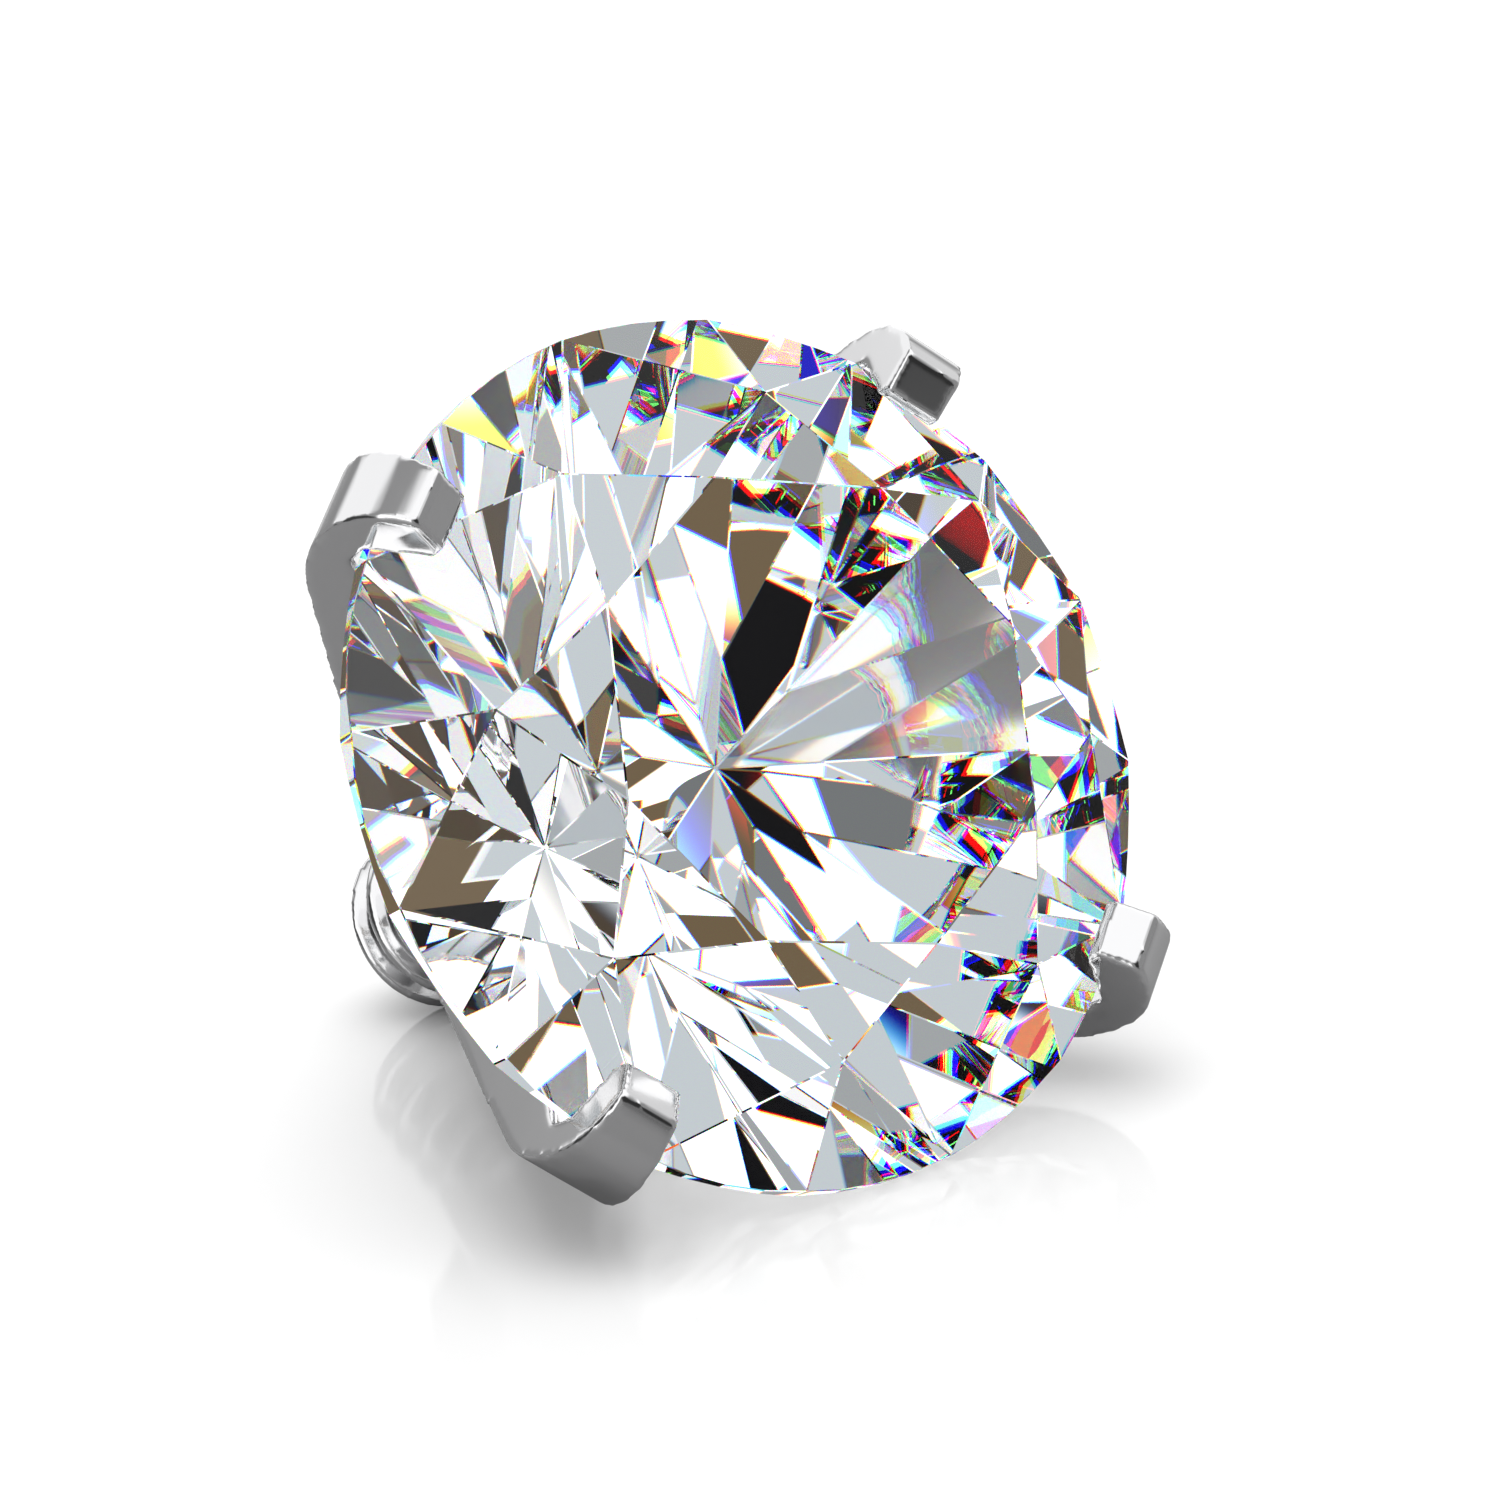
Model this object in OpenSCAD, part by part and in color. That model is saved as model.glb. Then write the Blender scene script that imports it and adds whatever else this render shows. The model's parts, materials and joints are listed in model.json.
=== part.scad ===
// Dermal anchor top: a round brilliant in a four-prong head on a threaded post.
// Lengths are in millimetres and angles in degrees. Each piece is drawn upright, with the
// middle of the girdle at the origin and the table up. It is then laid down as the whole
// rests by itself, on the edge of the girdle and the end of the thread.

/* [Stone] */
// Diameter of the stone across its girdle
stone_d = 5; // [4.9:0.05:5.1]
// Width of the table across its corners, as a share of the diameter
table_share = 0.56; // [0.53:0.01:0.6]
// Height of the crown, as a share of the diameter
crown_share = 0.15; // [0.13:0.01:0.16]
// Depth of the pavilion, as a share of the diameter
pavilion_share = 0.433; // [0.42:0.001:0.44]
// Girdle thickness where it is thickest
girdle_h = 0.14; // [0.12:0.01:0.16]
// How far the star facets reach from the table to the girdle, as a share
star_reach = 0.5; // [0.45:0.01:0.55]
// How far the lower halves reach from the girdle to the point, as a share
half_reach = 0.77; // [0.7:0.01:0.8]
// Turn of the stone in its head
stone_turn = 6.5; // [4:0.5:9]

/* [Head] */
// Depth of the head from the middle of the girdle to its flat underside
head_depth = 2.55; // [2.5:0.01:2.6]
// Distance from the axis to the outer face of an arm, at the underside
base_r = 0.92; // [0.88:0.01:0.96]
// Distance from the axis to the outer face of a prong, at the girdle
prong_r = 2.76; // [2.72:0.01:2.8]
// Height of the corner, before it is rounded, where the leaning arm turns upright
knee_z = -0.26; // [-0.3:0.01:-0.22]
// Radius of that bend
knee_bend = 0.9; // [0.7:0.1:1]
// Radius of the bend over the girdle
claw_bend = 0.5; // [0.46:0.01:0.52]
// Angle of the bend over the girdle
claw_turn = 68; // [60:1:75]
// Distance from the axis to the end of a claw
claw_reach = 2.22; // [2.18:0.01:2.28]
// Drop of the bevel from the top of a claw to its end
claw_bevel = 0.1; // [0.08:0.01:0.12]
// Width of an arm at the underside
arm_w_base = 0.88; // [0.82:0.02:0.92]
// Width of a prong at the girdle
arm_w_girdle = 0.53; // [0.49:0.01:0.57]
// Width of a claw at its end
claw_w = 0.36; // [0.32:0.01:0.4]
// Thickness of an arm, measured level
arm_t = 0.58; // [0.55:0.01:0.6]
// Radius of the hollow between two arms
notch_bend = 0.55; // [0.5:0.01:0.6]
// Thickness of the metal under the point of the stone
floor_t = 0.25; // [0.22:0.01:0.27]
// Level clearance between the stone and its seat
seat_gap = 0.03; // [0.02:0.01:0.04]

/* [Post] */
// Outer diameter of the thread
thread_d = 1.16; // [1.14:0.01:1.18]
// Distance from one thread crest to the next
thread_pitch = 0.25; // [0.24:0.01:0.26]
// Number of thread crests
thread_crests = 6; // [5:1:6]
// Depth of the thread groove
thread_depth = 0.155; // [0.153:0.001:0.16]
// Width of the flat on a crest and in a groove
thread_flat = 0.05; // [0.04:0.01:0.06]
// Diameter of the plain band below the thread, at its top
band_d = 1; // [0.98:0.01:1.04]
// Diameter of the band at its lower end
band_low_d = 0.97; // [0.9:0.01:0.97]
// Length of the band
band_h = 0.05; // [0.04:0.01:0.1]
// Height of the conical point
point_h = 0.32; // [0.28:0.02:0.34]

/* [Hidden] */

// Outer points of the round parts, on a circle and along a bend
circle_fn = 96;
bend_steps = 16;
// Length and width of the cutting shapes, larger than the head
cut_l = 8;

// Stone
fold = 8;
fold_a = 360 / fold;
arc_parts = 4;
ring_n = 2 * fold * arc_parts;
stone_r = stone_d / 2;
girdle_z = girdle_h / 2;
table_r = table_share * stone_r;
table_z = girdle_z + crown_share * stone_d;
point_of_stone_z = -girdle_z - pavilion_share * stone_d;
bezel_slope = (table_z - girdle_z) / (stone_r - table_r);
main_slope = (-girdle_z - point_of_stone_z) / stone_r;
table_side_r = table_r * cos(fold_a / 2);
star_r = table_side_r + star_reach * (stone_r - table_side_r);
star_z = table_z - (star_r * cos(fold_a / 2) - table_r) * bezel_slope;
half_r = (1 - half_reach) * stone_r;
half_z = point_of_stone_z + half_r * cos(fold_a / 2) * main_slope;

// Head
arm_slope = (head_depth + knee_z) / (prong_r - base_r);
arm_lean = 90 - atan(arm_slope);
knee_top_z = knee_z + knee_bend * tan(arm_lean / 2);
knee_low = [
    prong_r - knee_bend * (1 - cos(arm_lean)),
    knee_top_z - knee_bend * sin(arm_lean)
];
claw_top_r = prong_r - claw_bend * (1 - cos(claw_turn));
claw_top_z = knee_top_z + claw_bend * sin(claw_turn);
claw_end_z = claw_top_z - claw_bevel;
bevel_slope = claw_bevel / (claw_top_r - claw_reach);
well_z = -head_depth + floor_t;
well_top_z = -2 * girdle_z;

// Flat side of an arm: a plane through three points, each [from axis, half width, height]
side_base = [base_r, arm_w_base / 2, -head_depth];
side_girdle = [prong_r, arm_w_girdle / 2, 0];
side_claw = [claw_reach, claw_w / 2, claw_end_z];
side_n = unit(cross(side_base - side_girdle, side_claw - side_girdle));
// Edge in which that plane and the neighbouring arm's would meet, and its lean inwards
edge_n = cross([side_n.y, side_n.x, side_n.z], side_n);
edge_lean = atan(norm([edge_n.x, edge_n.y]) / abs(edge_n.z));
edge_at = (side_n * side_base + side_n.z * head_depth) / (side_n.x + side_n.y);
notch_half_a = acos(side_n * [side_n.y, side_n.x, side_n.z]) / 2;
notch_a = 90 - notch_half_a;

// Post
crest_r = thread_d / 2;
root_r = crest_r - thread_depth;
band_r = band_d / 2;
band_low_r = band_low_d / 2;
flank_h = thread_pitch / 2 - thread_flat;
rim_z = crest_low_z(thread_crests - 1);
band_top_z = rim_z - (crest_r - band_r);
band_end_z = band_top_z - band_h;
post_end_z = band_end_z - point_h;

// Rest: two neighbouring prongs hang equally high over the surface, and the axis rises until
// both the lowest point of the girdle and the last thread crest touch it
rest_azimuth = 135;
axis_rise = max([for (p = stone_points())
    atan((turned(p, stone_turn - rest_azimuth).x - crest_r) / (p.z - rim_z))]);
up = [
    -cos(axis_rise) * cos(rest_azimuth),
    -cos(axis_rise) * sin(rest_azimuth),
    sin(axis_rise)
];
back = (up * sin(axis_rise) - [0, 0, 1]) / cos(axis_rise);
right = cross(back, up);

// Outermost points of the whole, which set the origin below the middle of its box
outer_points = concat(
    [for (p = stone_points()) turned(p, stone_turn)],
    [for (a = [0 : 90 : 270], s = [-1, 1], p = bend_points())
        turned([p[0], s * half_width(p[0], p[1]), p[1]], a)],
    [for (i = [0 : circle_fn - 1]) polar(crest_r, i * 360 / circle_fn, rim_z)],
    [[0, 0, post_end_z]]
);
lying_points = [for (p = outer_points) [right * p, back * p, up * p]];
lying_x = [for (p = lying_points) p.x];
lying_y = [for (p = lying_points) p.y];
lying_z = [for (p = lying_points) p.z];

function unit(v) = v / norm(v);
function polar(r, a, z) = [r * cos(a), r * sin(a), z];
function turned(p, a) = [p.x * cos(a) - p.y * sin(a), p.x * sin(a) + p.y * cos(a), p.z];
function wrap(k, n) = (k + n) % n;

// Height of the plane through three points, above the place [x, y]
function plane_z(p, q, s, x, y) =
    let (n = cross(q - p, s - p))
    p.z - (n.x * (x - p.x) + n.y * (y - p.y)) / n.z;

// Girdle point number i, where a facet with its far corner at [r, z] meets the round girdle.
// side is 1 on the crown's edge of the girdle and -1 on the pavilion's.
function girdle_point(i, r, z, side) =
    let (
        a = i * 360 / ring_n,
        facet = floor(i / arc_parts),
        low = polar(stone_r, facet * fold_a / 2, side * girdle_z),
        high = polar(stone_r, (facet + 1) * fold_a / 2, side * girdle_z),
        far = polar(r, (floor(facet / 2) + 0.5) * fold_a, z)
    )
    polar(stone_r, a, plane_z(far, low, high, stone_r * cos(a), stone_r * sin(a)));

function stone_points() = concat(
    [for (k = [0 : fold - 1]) polar(table_r, k * fold_a, table_z)],
    [for (k = [0 : fold - 1]) polar(star_r, (k + 0.5) * fold_a, star_z)],
    [for (i = [0 : ring_n - 1]) girdle_point(i, star_r, star_z, 1)],
    [for (i = [0 : ring_n - 1]) girdle_point(i, half_r, half_z, -1)],
    [for (k = [0 : fold - 1]) polar(half_r, (k + 0.5) * fold_a, half_z)],
    [[0, 0, point_of_stone_z]]
);

// Places of these points in the list above
function table_at(k) = wrap(k, fold);
function star_at(k) = fold + wrap(k, fold);
function upper_at(i) = 2 * fold + wrap(i, ring_n);
function lower_at(i) = 2 * fold + ring_n + wrap(i, ring_n);
function half_at(k) = 2 * fold + 2 * ring_n + wrap(k, fold);
function tip_at() = 3 * fold + 2 * ring_n;

// Half the width of an arm at the distance r from the axis and the height z
function half_width(r, z) =
    side_base.y - (side_n.x * (r - side_base.x) + side_n.z * (z - side_base.z)) / side_n.y;

// Points [from axis, height] along the knee and over the claw
function bend_points() = concat(
    [for (i = [0 : bend_steps])
        let (a = arm_lean * (i / bend_steps - 1))
        [prong_r - knee_bend * (1 - cos(a)), knee_top_z + knee_bend * sin(a)]],
    [for (i = [0 : bend_steps])
        let (a = claw_turn * i / bend_steps)
        [prong_r - claw_bend * (1 - cos(a)), knee_top_z + claw_bend * sin(a)]]
);

module round_stone() {
    facets = concat(
        [[for (k = [fold - 1 : -1 : 0]) table_at(k)]],
        [for (k = [0 : fold - 1]) [table_at(k), table_at(k + 1), star_at(k)]],
        [for (k = [0 : fold - 1])
            [table_at(k), star_at(k), upper_at(2 * k * arc_parts), star_at(k - 1)]],
        [for (f = [0 : 2 * fold - 1])
            concat(
                [star_at(floor(f / 2))],
                [for (i = [arc_parts : -1 : 0]) upper_at(f * arc_parts + i)]
            )],
        [for (i = [0 : ring_n - 1])
            [upper_at(i), upper_at(i + 1), lower_at(i + 1), lower_at(i)]],
        [for (f = [0 : 2 * fold - 1])
            concat(
                [half_at(floor(f / 2))],
                [for (i = [0 : arc_parts]) lower_at(f * arc_parts + i)]
            )],
        [for (k = [0 : fold - 1])
            [tip_at(), half_at(k - 1), lower_at(2 * k * arc_parts), half_at(k)]]
    );
    color("aliceblue")
        laid_down()
            rotate([0, 0, stone_turn])
                polyhedron(points = stone_points(), faces = facets, convexity = 2);
}

module prong_setting() {
    color("silver")
        laid_down() {
            difference() {
                head_blank();
                for (a = [0 : 90 : 270])
                    rotate([0, 0, a]) notch();
                mouth();
                well();
                seat();
            }
            post();
        }
}

// Four-sided block with the outer faces of all arms and claws
module head_blank() {
    intersection() {
        across() arm_outline();
        rotate([0, 0, 90]) across() arm_outline();
    }
}

// A bar of the drawn section, lying along Y
module across() {
    rotate([90, 0, 0])
        linear_extrude(height = cut_l, center = true)
            children();
}

// Outline of two opposite arms, filled between them
module arm_outline() {
    polygon([
        [-base_r, -head_depth],
        [base_r, -head_depth],
        knee_low,
        [prong_r, knee_top_z],
        [claw_top_r, claw_top_z],
        [-claw_top_r, claw_top_z],
        [-prong_r, knee_top_z],
        [-knee_low.x, knee_low.y]
    ]);
    for (side = [0, 1])
        mirror([side, 0]) {
            intersection() {
                translate([prong_r - knee_bend, knee_top_z])
                    circle(r = knee_bend, $fn = circle_fn);
                translate([0, knee_top_z - knee_bend])
                    square([prong_r, knee_bend]);
            }
            intersection() {
                translate([prong_r - claw_bend, knee_top_z])
                    circle(r = claw_bend, $fn = circle_fn);
                translate([prong_r - claw_bend, knee_top_z])
                    square([claw_bend, claw_top_z - knee_top_z]);
            }
        }
}

// Space between two arms: a wedge with a round bottom, leaning in with the arms' sides
module notch() {
    reach = notch_bend / tan(notch_a);
    translate([edge_at, edge_at, -head_depth])
        rotate([0, 0, 45])
            rotate([0, -edge_lean, 0])
                translate([0, 0, -cut_l / 4])
                    linear_extrude(height = cut_l) {
                        translate([notch_bend / sin(notch_a), 0])
                            circle(r = notch_bend, $fn = circle_fn);
                        polygon([
                            reach * [cos(notch_a), sin(notch_a)],
                            reach * [cos(notch_a), -sin(notch_a)],
                            cut_l * [cos(notch_a), -sin(notch_a)],
                            cut_l * [cos(notch_a), sin(notch_a)]
                        ]);
                    }
}

// Opening above the stone, which ends the four claws with a bevel
module mouth() {
    intersection() {
        across() mouth_outline();
        rotate([0, 0, 90]) across() mouth_outline();
    }
}

module mouth_outline() {
    polygon([
        [-claw_reach, 0],
        [claw_reach, 0],
        [claw_reach, claw_end_z],
        [prong_r, claw_end_z + (prong_r - claw_reach) * bevel_slope],
        [-prong_r, claw_end_z + (prong_r - claw_reach) * bevel_slope],
        [-claw_reach, claw_end_z]
    ]);
}

// Open inside of the arms, parallel to their outer faces
module well() {
    translate([0, 0, well_z])
        cylinder(
            h = well_top_z - well_z,
            r1 = base_r + floor_t / arm_slope - arm_t,
            r2 = base_r + (well_top_z + head_depth) / arm_slope - arm_t,
            $fn = circle_fn
        );
}

// Round groove in the prongs that holds the girdle, with the clearance added
module seat() {
    rotate_extrude($fn = circle_fn)
        polygon([
            [0, half_z],
            [half_r + seat_gap, half_z],
            [stone_r + seat_gap, -girdle_z],
            [stone_r + seat_gap, girdle_z],
            [star_r + seat_gap, star_z],
            [0, star_z]
        ]);
}

module post() {
    rotate_extrude($fn = circle_fn)
        polygon(concat(
            [[0, well_z - floor_t / 2], [crest_r, well_z - floor_t / 2]],
            [for (k = [0 : thread_crests - 2], p = groove_points(crest_low_z(k))) p],
            [[crest_r, rim_z]],
            [[band_r, band_top_z], [band_low_r, band_end_z], [0, post_end_z]]
        ));
}

// Height of the lower edge of crest number k, counted down from the head
function crest_low_z(k) = -head_depth - thread_flat - k * thread_pitch;

// The groove below a crest whose lower edge is at the height z
function groove_points(z) = [
    [crest_r, z],
    [root_r, z - flank_h],
    [root_r, z - flank_h - thread_flat],
    [crest_r, z - 2 * flank_h - thread_flat]
];

// From upright to lying, with the table to the front and the origin below the middle
module laid_down() {
    translate([
        -(min(lying_x) + max(lying_x)) / 2,
        -(min(lying_y) + max(lying_y)) / 2,
        -min(lying_z)
    ])
        multmatrix([
            [right.x, right.y, right.z, 0],
            [back.x, back.y, back.z, 0],
            [up.x, up.y, up.z, 0]
        ])
            children();
}

round_stone();
prong_setting();
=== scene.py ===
"""Looks of the dermal anchor top: a round brilliant in a polished steel head on a white table."""
import json
import math

import bmesh
import bpy
from mathutils import Matrix, Vector


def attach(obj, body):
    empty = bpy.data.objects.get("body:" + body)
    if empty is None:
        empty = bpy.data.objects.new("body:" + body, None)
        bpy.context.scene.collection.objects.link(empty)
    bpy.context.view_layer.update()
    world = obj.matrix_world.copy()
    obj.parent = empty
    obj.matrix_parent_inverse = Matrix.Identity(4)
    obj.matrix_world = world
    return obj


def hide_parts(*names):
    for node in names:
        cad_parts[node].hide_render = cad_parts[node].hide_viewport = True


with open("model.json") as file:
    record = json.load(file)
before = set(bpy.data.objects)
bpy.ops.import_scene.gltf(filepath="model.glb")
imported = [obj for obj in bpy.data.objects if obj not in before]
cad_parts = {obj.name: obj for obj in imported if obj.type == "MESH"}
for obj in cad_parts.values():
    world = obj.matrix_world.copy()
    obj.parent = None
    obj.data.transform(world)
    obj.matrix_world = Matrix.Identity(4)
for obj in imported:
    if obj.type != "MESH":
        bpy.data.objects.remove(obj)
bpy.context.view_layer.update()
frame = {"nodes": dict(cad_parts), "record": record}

MM = 0.001

# Photographer's view of the lying piece, and the camera's distance from the girdle
CAMERA_AZIMUTH = math.radians(-35.65)
CAMERA_ELEVATION = math.radians(16.81)
CAMERA_ROLL = math.radians(-4.81)
CAMERA_DISTANCE = 30 * MM
LENS = 130
NEAREST_SEEN = MM
FARTHEST_SEEN = 10

# Post in millimetres, as in the part's own drawing
THREAD_R = 0.58
THREAD_PITCH = 0.25
THREAD_DEPTH = 0.155
THREAD_FLAT = 0.05
BAND_R = 0.5
BAND_LOW_R = 0.485
BAND_LENGTH = 0.05
POINT_LENGTH = 0.32
# Length below the thread over which its groove runs out
THREAD_FADE = THREAD_PITCH / 3

# Skin of the post and the head, in millimetres: the post's sides and the steps along it, how far
# it reaches into the head, and how far over the head's base the plain post is cut off
POST_SIDES = 96
POST_STEP = 0.01
POST_IN_HEAD = 0.1
CUT_OVER_BASE = 0.002
SETTING_MERGE = 1e-5
EDGE_GRAIN = 0.02
EDGE_SOFTNESS = 0.5
EDGE_PASSES = 3

# Skin of the stone, in millimetres: the width of the polished edge between two facets, and the
# turn up to which two faces are one facet
FACET_EDGE = 0.012
FACET_FLAT = math.radians(0.3)
STONE_MERGE = 1e-4
# Share of the stone's radius from which a corner belongs to the girdle
GIRDLE_FROM = 0.99


def jewel_axis():
    """Middle of the thread, the direction from there to the stone's table, and its length."""
    mount = next(m for m in frame["record"]["mounts"] if m["name"] == "threaded_post")
    way = -Vector(mount["axis"]).normalized()
    return Vector(mount["pos_m"]), way, mount["dims"]["length_mm"] * MM


THREAD_MIDDLE, TABLE_WAY, THREAD_LENGTH = jewel_axis()


def girdle_middle():
    """Middle of the stone's widest ring, found from its outermost corners."""
    places = [v.co - THREAD_MIDDLE for v in frame["nodes"]["round_stone"].data.vertices]
    heights = [p.dot(TABLE_WAY) for p in places]
    radii = [(p - TABLE_WAY * h).length for p, h in zip(places, heights)]
    widest = max(radii)
    ring = [h for h, r in zip(heights, radii) if r > GIRDLE_FROM * widest]
    return THREAD_MIDDLE + TABLE_WAY * (min(ring) + max(ring)) / 2


GIRDLE = girdle_middle()


def to_jewel():
    """Matrix from the row frame to millimetres with the girdle at the origin and the table up."""
    side = TABLE_WAY.orthogonal().normalized()
    turn = Matrix((side, TABLE_WAY.cross(side), TABLE_WAY)).to_4x4()
    return Matrix.Scale(1 / MM, 4) @ turn @ Matrix.Translation(-GIRDLE)


def link_object(name, data):
    thing = bpy.data.objects.new(name, data)
    bpy.context.scene.collection.objects.link(thing)
    return thing


def link_mesh(name, mesh_name, mesh):
    """Object made of a bmesh, which is freed."""
    data = bpy.data.meshes.new(mesh_name)
    mesh.to_mesh(data)
    mesh.free()
    return link_object(name, data)


def make_camera():
    way = Vector((
        math.sin(CAMERA_AZIMUTH) * math.cos(CAMERA_ELEVATION),
        -math.cos(CAMERA_AZIMUTH) * math.cos(CAMERA_ELEVATION),
        math.sin(CAMERA_ELEVATION),
    ))
    data = bpy.data.cameras.new("camera")
    data.lens = LENS
    data.clip_start = NEAREST_SEEN
    data.clip_end = FARTHEST_SEEN
    camera = link_object("camera", data)
    camera.location = GIRDLE + way * CAMERA_DISTANCE
    turn = (-way).to_track_quat("-Z", "Y").to_matrix().to_4x4()
    camera.rotation_euler = (turn @ Matrix.Rotation(CAMERA_ROLL, 4, "Z")).to_euler()
    bpy.context.scene.camera = camera


def smoothstep(share):
    share = min(1, max(0, share))
    return share * share * (3 - 2 * share)


def groove_depth(over, angle):
    """Depth of the one right-handed groove, at a height over the thread's lower rim."""
    flank = THREAD_PITCH / 2 - THREAD_FLAT
    # crest, flank, root and flank again, from one crest's lower edge to the next's
    along = (over / THREAD_PITCH - angle / (2 * math.pi)) % 1 * THREAD_PITCH
    if along < THREAD_FLAT:
        return 0
    if along < THREAD_FLAT + flank:
        return THREAD_DEPTH * (along - THREAD_FLAT) / flank
    if along < 2 * THREAD_FLAT + flank:
        return THREAD_DEPTH
    return THREAD_DEPTH * (THREAD_PITCH - along) / flank


def end_radius(below):
    """Radius of the chamfer, the plain band and the point, at a depth below the thread."""
    chamfer = THREAD_R - BAND_R
    if below <= chamfer:
        return THREAD_R - below
    in_band = below - chamfer
    if in_band <= BAND_LENGTH:
        return BAND_R - (BAND_R - BAND_LOW_R) * in_band / BAND_LENGTH
    return BAND_LOW_R * max(0, 1 - (in_band - BAND_LENGTH) / POINT_LENGTH)


def post_radius(over, angle):
    """Radius of the post at a height over the thread's lower rim and an angle about its axis."""
    groove = groove_depth(over, angle) * smoothstep(1 + over / THREAD_FADE)
    return min(THREAD_R - groove, end_radius(-over))


def add_post(mesh, base, rim):
    """Adds the threaded post to a bmesh, as rings of points from inside the head to its point."""
    start = base + POST_IN_HEAD
    end = rim - (THREAD_R - BAND_R + BAND_LENGTH + POINT_LENGTH)
    count = round((start - end) / POST_STEP)
    angles = [2 * math.pi * side / POST_SIDES for side in range(POST_SIDES)]
    rings = []
    for step in range(count):
        height = start + (end - start) * step / count
        ring = []
        for angle in angles:
            radius = post_radius(height - rim, angle)
            place = (radius * math.cos(angle), radius * math.sin(angle), height)
            ring.append(mesh.verts.new(place))
        rings.append(ring)
    point = mesh.verts.new((0, 0, end))
    mesh.faces.new(rings[0])
    for upper, lower in zip(rings, rings[1:]):
        for side in range(POST_SIDES):
            mesh.faces.new((upper[side - 1], lower[side - 1], lower[side], upper[side]))
    for side in range(POST_SIDES):
        mesh.faces.new((rings[-1][side - 1], point, rings[-1][side]))


def cut_off_post(mesh, base):
    """Takes the plain post off a bmesh of the setting and closes the head's base."""
    cut = bmesh.ops.bisect_plane(
        mesh, geom=mesh.verts[:] + mesh.edges[:] + mesh.faces[:],
        plane_co=(0, 0, base + CUT_OVER_BASE), plane_no=(0, 0, -1), clear_outer=True,
    )
    edges = [e for e in cut["geom_cut"] if isinstance(e, bmesh.types.BMEdge)]
    bmesh.ops.triangle_fill(mesh, edges=edges, use_beauty=True)


def round_edges(piece):
    """Makes one skin of a piece's shells, with softly rounded edges."""
    skin = piece.modifiers.new("skin", "REMESH")
    skin.mode = "VOXEL"
    skin.voxel_size = EDGE_GRAIN
    soft = piece.modifiers.new("soft", "SMOOTH")
    soft.factor = EDGE_SOFTNESS
    soft.iterations = EDGE_PASSES
    shown = piece.evaluated_get(bpy.context.evaluated_depsgraph_get())
    piece.data = bpy.data.meshes.new_from_object(shown)
    piece.modifiers.clear()


def dressed_setting():
    """The head and its post as one skin with softly rounded edges and a helical thread."""
    jewel = to_jewel()
    mesh = bmesh.new()
    mesh.from_mesh(frame["nodes"]["prong_setting"].data)
    mesh.transform(jewel)
    bmesh.ops.remove_doubles(mesh, verts=mesh.verts, dist=SETTING_MERGE)
    base = (jewel @ (THREAD_MIDDLE + TABLE_WAY * THREAD_LENGTH / 2)).z
    rim = (jewel @ (THREAD_MIDDLE - TABLE_WAY * THREAD_LENGTH / 2)).z
    cut_off_post(mesh, base)
    add_post(mesh, base, rim)
    piece = link_mesh("polished_setting", "setting", mesh)
    round_edges(piece)
    piece.data.transform(jewel.inverted())
    for face in piece.data.polygons:
        face.use_smooth = True
    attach(piece, "root")
    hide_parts("prong_setting")
    return piece


def dressed_stone():
    """The stone with its facets whole and a hair-thin polished edge between them."""
    jewel = to_jewel()
    mesh = bmesh.new()
    mesh.from_mesh(frame["nodes"]["round_stone"].data)
    mesh.transform(jewel)
    bmesh.ops.remove_doubles(mesh, verts=mesh.verts, dist=STONE_MERGE)
    bmesh.ops.dissolve_limit(
        mesh, angle_limit=FACET_FLAT, verts=mesh.verts, edges=mesh.edges,
    )
    bmesh.ops.bevel(
        mesh, geom=mesh.edges[:], offset=FACET_EDGE / 2, offset_type="OFFSET", segments=1,
        profile=0.5, affect="EDGES", clamp_overlap=True,
    )
    mesh.transform(jewel.inverted())
    piece = link_mesh("brilliant_stone", "stone", mesh)
    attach(piece, "root")
    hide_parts("round_stone")
    return piece


class Tree:
    """Node tree of a material or the world, with short ways to add its nodes."""

    def __init__(self, owner):
        owner.use_nodes = True
        self.nodes = owner.node_tree.nodes
        self.links = owner.node_tree.links
        self.nodes.clear()

    def add(self, kind, inputs=None, **settings):
        """New node, with its inputs given by name or number as a link, a number or a colour."""
        node = self.nodes.new("ShaderNode" + kind)
        for name, value in settings.items():
            setattr(node, name, value)
        for slot, value in (inputs or {}).items():
            socket = node.inputs[slot]
            if isinstance(value, bpy.types.NodeSocket):
                self.links.new(value, socket)
            elif socket.type != "RGBA":
                socket.default_value = value
            elif isinstance(value, (int, float)):
                socket.default_value = (value, value, value, 1)
            else:
                socket.default_value = (*value, 1)
        return node

    def compute(self, operation, *values):
        return self.add("Math", dict(enumerate(values)), operation=operation).outputs[0]

    def mix_colours(self, share, low, high):
        return self.add("Mix", {0: share, 6: low, 7: high}, data_type="RGBA").outputs[2]

    def mix_shaders(self, share, low, high):
        return self.add("MixShader", {0: share, 1: low, 2: high}).outputs[0]

    def grain(self, scale, detail=2):
        """Noise from 0 to 1 with its scale in grains per metre."""
        place = self.add("TexCoord").outputs["Object"]
        inputs = {"Vector": place, "Scale": scale, "Detail": detail}
        return self.add("TexNoise", inputs).outputs["Fac"]

    def between(self, share, low, high):
        return self.add("MapRange", {"Value": share, "To Min": low, "To Max": high}).outputs[0]


def new_material(name):
    material = bpy.data.materials.new(name)
    return material, Tree(material)


STEEL_COLOUR = (0.80, 0.80, 0.81)
STEEL_GRAIN = 2500
STEEL_GRAIN_DETAIL = 4
STEEL_ROUGHNESS = (0.05, 0.13)


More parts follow.
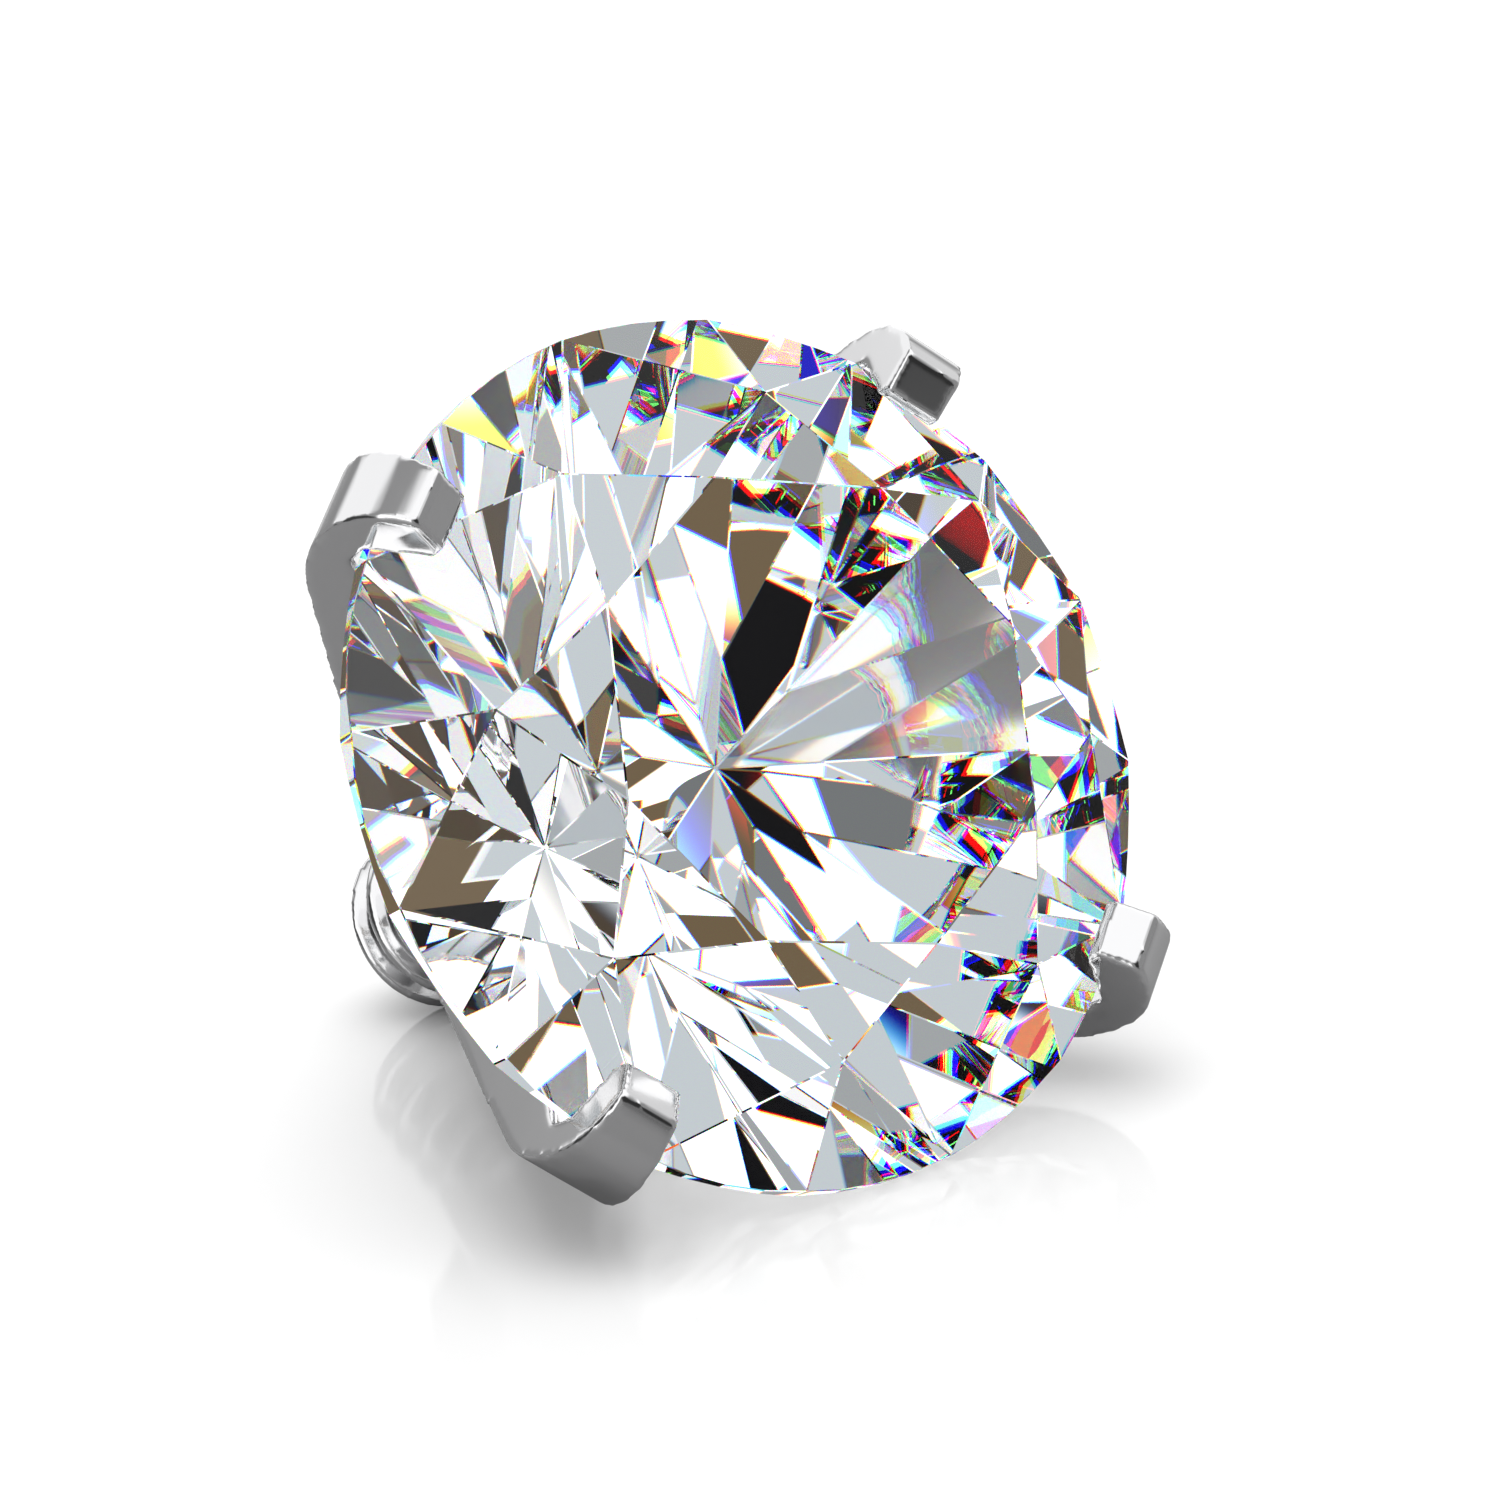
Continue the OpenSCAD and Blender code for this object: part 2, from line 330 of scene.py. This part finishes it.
def steel_material():
    """Mirror-polished steel with a slightly uneven gloss."""
    material, tree = new_material("polished_steel")
    roughness = tree.between(tree.grain(STEEL_GRAIN, STEEL_GRAIN_DETAIL), *STEEL_ROUGHNESS)
    inputs = {"Metallic": 1, "Base Color": STEEL_COLOUR, "Roughness": roughness}
    shader = tree.add("BsdfPrincipled", inputs)
    tree.add("OutputMaterial", {"Surface": shader.outputs[0]})
    return material


# Refractive index of the stone for red, green and blue light
STONE_IOR = {"red": 2.152, "green": 2.17, "blue": 2.19}
# Share of the light that meets the stone's outside as on plain glass, with its reflection
SURFACE_GLOSS = 0.2
# Share of a ray that a facet would mirror from which it mirrors all that it can
MIRROR_FROM = 0.4
# Share of the studio's light that passes through one side of the stone to the table
SHADOW_LIGHT = 0.88
# The stone's tint wanders between these two colours
STONE_TINTS = ((0.97, 0.985, 1), (1, 1, 1))
STONE_GRAIN = 400


def stone_material():
    """Clear stone that splits white light where a ray first enters it."""
    material, tree = new_material("clear_stone")
    path = tree.add("LightPath")
    white = (1, 1, 1)
    index = STONE_IOR["green"]

    def clear(kind, colour, ior):
        return tree.add(kind, {"Color": colour, "Roughness": 0, "IOR": ior}).outputs[0]

    # three rays of one third each, so every colour is three times as bright in its own
    red, green, blue = (
        clear("BsdfRefraction", [3 * (name == own) for own in STONE_IOR], STONE_IOR[name])
        for name in STONE_IOR
    )
    split = tree.mix_shaders(1 / 3, tree.mix_shaders(1 / 2, red, green), blue)
    tint = tree.mix_colours(tree.grain(STONE_GRAIN), *STONE_TINTS)
    gloss = tree.add("BsdfPrincipled", {
        "Roughness": 0, "Transmission Weight": 1, "IOR": index, "Base Color": tint,
    })
    outside = tree.mix_shaders(SURFACE_GLOSS, split, gloss.outputs[0])
    # inside, a facet either mirrors a ray or lets all of it out, so each stays crisp
    mirrored = tree.add("Fresnel", {"IOR": index}).outputs[0]
    inside = tree.mix_shaders(
        tree.compute("GREATER_THAN", mirrored, MIRROR_FROM),
        clear("BsdfRefraction", white, index),
        clear("BsdfGlass", white, index),
    )
    # a ray's depth is a whole number, 0 where it comes straight from the camera
    entering = tree.compute("LESS_THAN", path.outputs["Ray Depth"], 0.5)
    lit = tree.mix_shaders(entering, inside, outside)
    shade = tree.add("BsdfTransparent", {"Color": SHADOW_LIGHT}).outputs[0]
    surface = tree.mix_shaders(path.outputs["Is Shadow Ray"], lit, shade)
    tree.add("OutputMaterial", {"Surface": surface})
    return material


# Colours of the studio's cards, also painted onto the table as light and shade that the stone
# shows
WHITE = (1.3, 1.3, 1.3)
PEARL = (0.56, 0.61, 0.64)
SILVER = (0.36, 0.38, 0.39)
GREY = (0.17, 0.18, 0.185)
BROWN = (0.16, 0.115, 0.065)
UMBER = (0.055, 0.037, 0.02)
BLACK = (0.002, 0.002, 0.003)

# The table's radius in metres, its gloss, and the size of its grains per metre
TABLE_R = 0.4
TABLE_SIDES = 96
TABLE_IOR = 1.35
TABLE_GRAIN = 300
TABLE_ROUGHNESS = (0.06, 0.12)
# The table is white to the camera and painted grey where the steel mirrors it. Where the stone
# shows it, it is painted as a patchwork of light and dark patches, which are painted light and
# shade in the stone: their size in millimetres, and the share from which each colour starts
TABLE_WHITE = 0.88
# painted reflection: the grey the steel mirrors in place of the white table
TABLE_GREY_PAINTED_IN_STEEL = 0.22
# painted light and shade: patches on the table that only rays through the stone see
TABLE_PAINTED_PATCH = 1.3
TABLE_PAINTED_PATCHES = [
    (0.00, BLACK),
    (0.14, UMBER),
    (0.24, BROWN),
    (0.34, GREY),
    (0.46, PEARL),
    (0.62, (0.95, 0.95, 0.95)),
]


def painted_sparkle_patches(tree):
    """Painted light and shade: colour of a patchwork of square patches, black to white, on the
    table as the stone shows it.
    """
    place = tree.add("TexCoord").outputs["Object"]
    scale = 1 / (TABLE_PAINTED_PATCH * MM)
    painted_patch_cells = tree.add("TexVoronoi", {"Vector": place, "Scale": scale}, distance="CHEBYCHEV")
    pick = tree.add("SeparateColor", {0: painted_patch_cells.outputs["Color"]})
    ramp = tree.add("ValToRGB", {0: pick.outputs[0]})
    stops = ramp.color_ramp.elements
    ramp.color_ramp.interpolation = "CONSTANT"
    while len(stops) < len(TABLE_PAINTED_PATCHES):
        stops.new(1)
    for stop, (start, colour) in zip(stops, TABLE_PAINTED_PATCHES):
        stop.position = start
        stop.color = (*colour, 1)
    return ramp.outputs[0]


def table_material():
    """White acrylic that mirrors the piece faintly; its reflection in the steel is painted grey,
    and where the stone shows it, it is painted with patches of light and shade.
    """
    material, tree = new_material("white_table")
    path = tree.add("LightPath")
    # a ray that has passed the clear stone counts as glossy too, so its choice comes last
    # painted reflection: grey instead of white for rays that the steel mirrors
    colour = tree.mix_colours(path.outputs["Is Glossy Ray"], TABLE_WHITE, TABLE_GREY_PAINTED_IN_STEEL)
    # painted light and shade: rays that passed the stone see the table as patches from black to
    # white
    colour = tree.mix_colours(path.outputs["Is Transmission Ray"], colour, painted_sparkle_patches(tree))
    roughness = tree.between(tree.grain(TABLE_GRAIN), *TABLE_ROUGHNESS)
    inputs = {"Base Color": colour, "Roughness": roughness, "IOR": TABLE_IOR}
    shader = tree.add("BsdfPrincipled", inputs)
    tree.add("OutputMaterial", {"Surface": shader.outputs[0]})
    return material


def make_table():
    mesh = bmesh.new()
    bmesh.ops.create_circle(mesh, cap_ends=True, segments=TABLE_SIDES, radius=TABLE_R)
    table = link_mesh("table", "table", mesh)
    table.data.materials.append(table_material())


# The studio has one even light for the table, soft cards that the steel mirrors, and crisp
# cards that sparkle in the stone. A card is (azimuth, elevation, half width, half height,
# tilt) in degrees and its colour. Azimuth 0 is -Y and grows towards +X
TABLE_LIGHT = 0.6
OVERHEAD_LIGHT = 2.8
OVERHEAD_SHARPNESS = 6
STEEL_GREY = 0.3
STEEL_SOFTNESS = 14
STEEL_CARDS = [
    (-58, 32, 12, 20, 0, 1.4),
    (50, 55, 26, 14, 0, 1.3),
    (-20, 62, 20, 8, 0, 1.2),
    (-102, 12, 16, 22, 0, 0.05),
    (10, 22, 10, 14, 0, 0.03),
    (170, 45, 30, 20, 0, 1.1),
    (144, 12, 10, 14, 0, 1.2),
    (95, 20, 12, 14, 0, 0.8),
]
STONE_SOFTNESS = 0.5
STONE_CARDS = [
    (-45, 22, 22, 9, 20, PEARL),
    (8, 60, 24, 7, 0, PEARL),
    (-12, 6, 13, 6, 0, PEARL),
    (-60, 55, 10, 10, 0, PEARL),
    (-75, 18, 9, 12, 0, SILVER),
    (-15, 52, 12, 6, 10, SILVER),
    (25, 6, 6, 14, 10, SILVER),
    (50, 45, 8, 14, 30, GREY),
    (0, 33, 7, 5, 0, GREY),
    (-27, 39, 9, 6, 15, BROWN),
    (16, 26, 5, 14, 20, BROWN),
    (75, 8, 12, 9, 0, BROWN),
    (-52, 8, 4, 7, 0, UMBER),
    (-8, 45, 14, 2, -30, UMBER),
    (-3, 18, 1.6, 18, -15, BLACK),
    (-38, 45, 1.6, 14, 25, BLACK),
    (-66, 44, 2.5, 14, -20, BLACK),
    (90, 20, 8, 4, 0, BLACK),
    (-130, 45, 10, 10, 0, BLACK),
]
# Keeps a card's plane from a division by nothing at the horizon behind it
JUST_AHEAD = 0.001
# Size of the map by which Cycles finds the bright parts of the studio
LIGHT_MAP = 128


def make_world():
    world = bpy.data.worlds.new("studio")
    bpy.context.scene.world = world
    tree = Tree(world)
    ray = tree.add("TexCoord").outputs["Generated"]

    def along(way):
        return tree.add("VectorMath", {0: ray, 1: way}, operation="DOT_PRODUCT").outputs["Value"]

    def within(off, half, softness):
        """1 within half of the card's middle, falling to 0 over the softness beyond."""
        return tree.add("MapRange", {
            "Value": tree.compute("ABSOLUTE", off),
            "From Min": math.tan(math.radians(half + softness)),
            "From Max": math.tan(math.radians(half)),
        }, interpolation_type="SMOOTHSTEP").outputs[0]

    def with_cards(base, cards, softness):
        """Base colour with each card drawn over it, as a flat card that faces the piece."""
        for azimuth, elevation, wide, high, tilt, colour in cards:
            turn = Matrix.Rotation(math.radians(azimuth), 3, "Z")
            turn = turn @ Matrix.Rotation(math.radians(-elevation), 3, "X")
            turn = turn @ Matrix.Rotation(math.radians(tilt), 3, "Y")
            ahead = tree.compute("MAXIMUM", along(turn @ Vector((0, -1, 0))), JUST_AHEAD)
            across = tree.compute("DIVIDE", along(turn @ Vector((1, 0, 0))), ahead)
            upward = tree.compute("DIVIDE", along(turn @ Vector((0, 0, 1))), ahead)
            share = tree.compute(
                "MULTIPLY", within(across, wide, softness), within(upward, high, softness),
            )
            base = tree.mix_colours(share, base, colour)
        return base

    def background(colour):
        return tree.add("Background", {"Color": colour}).outputs[0]

    steel = with_cards(STEEL_GREY, STEEL_CARDS, STEEL_SOFTNESS)
    sparkle = with_cards(WHITE, STONE_CARDS, STONE_SOFTNESS)
    upward = tree.compute("MAXIMUM", along(Vector((0, 0, 1))), 0)
    overhead = tree.compute("POWER", upward, OVERHEAD_SHARPNESS)
    overhead = tree.compute("MULTIPLY", overhead, OVERHEAD_LIGHT)
    light = background(tree.compute("ADD", overhead, TABLE_LIGHT))
    path = tree.add("LightPath")
    # shaders are mixed, not colours, because Cycles then skips those that a ray doesn't see
    seen = tree.mix_shaders(path.outputs["Is Glossy Ray"], light, background(steel))
    seen = tree.mix_shaders(path.outputs["Is Transmission Ray"], seen, background(sparkle))
    seen = tree.mix_shaders(path.outputs["Is Camera Ray"], seen, background(1))
    tree.add("OutputWorld", {"Surface": seen})
    world.cycles.sampling_method = "MANUAL"
    world.cycles.sample_map_resolution = LIGHT_MAP


def paint(piece, material):
    piece.data.materials.clear()
    piece.data.materials.append(material)


def set_bounces():
    """How often a ray may bounce: often between facets, twice between table and piece."""
    cycles = bpy.context.scene.cycles
    cycles.max_bounces = 14
    cycles.diffuse_bounces = 2
    cycles.glossy_bounces = 12
    cycles.transmission_bounces = 12


make_camera()
make_table()
make_world()
paint(dressed_setting(), steel_material())
paint(dressed_stone(), stone_material())
bpy.context.scene.view_settings.view_transform = "Standard"
set_bounces()
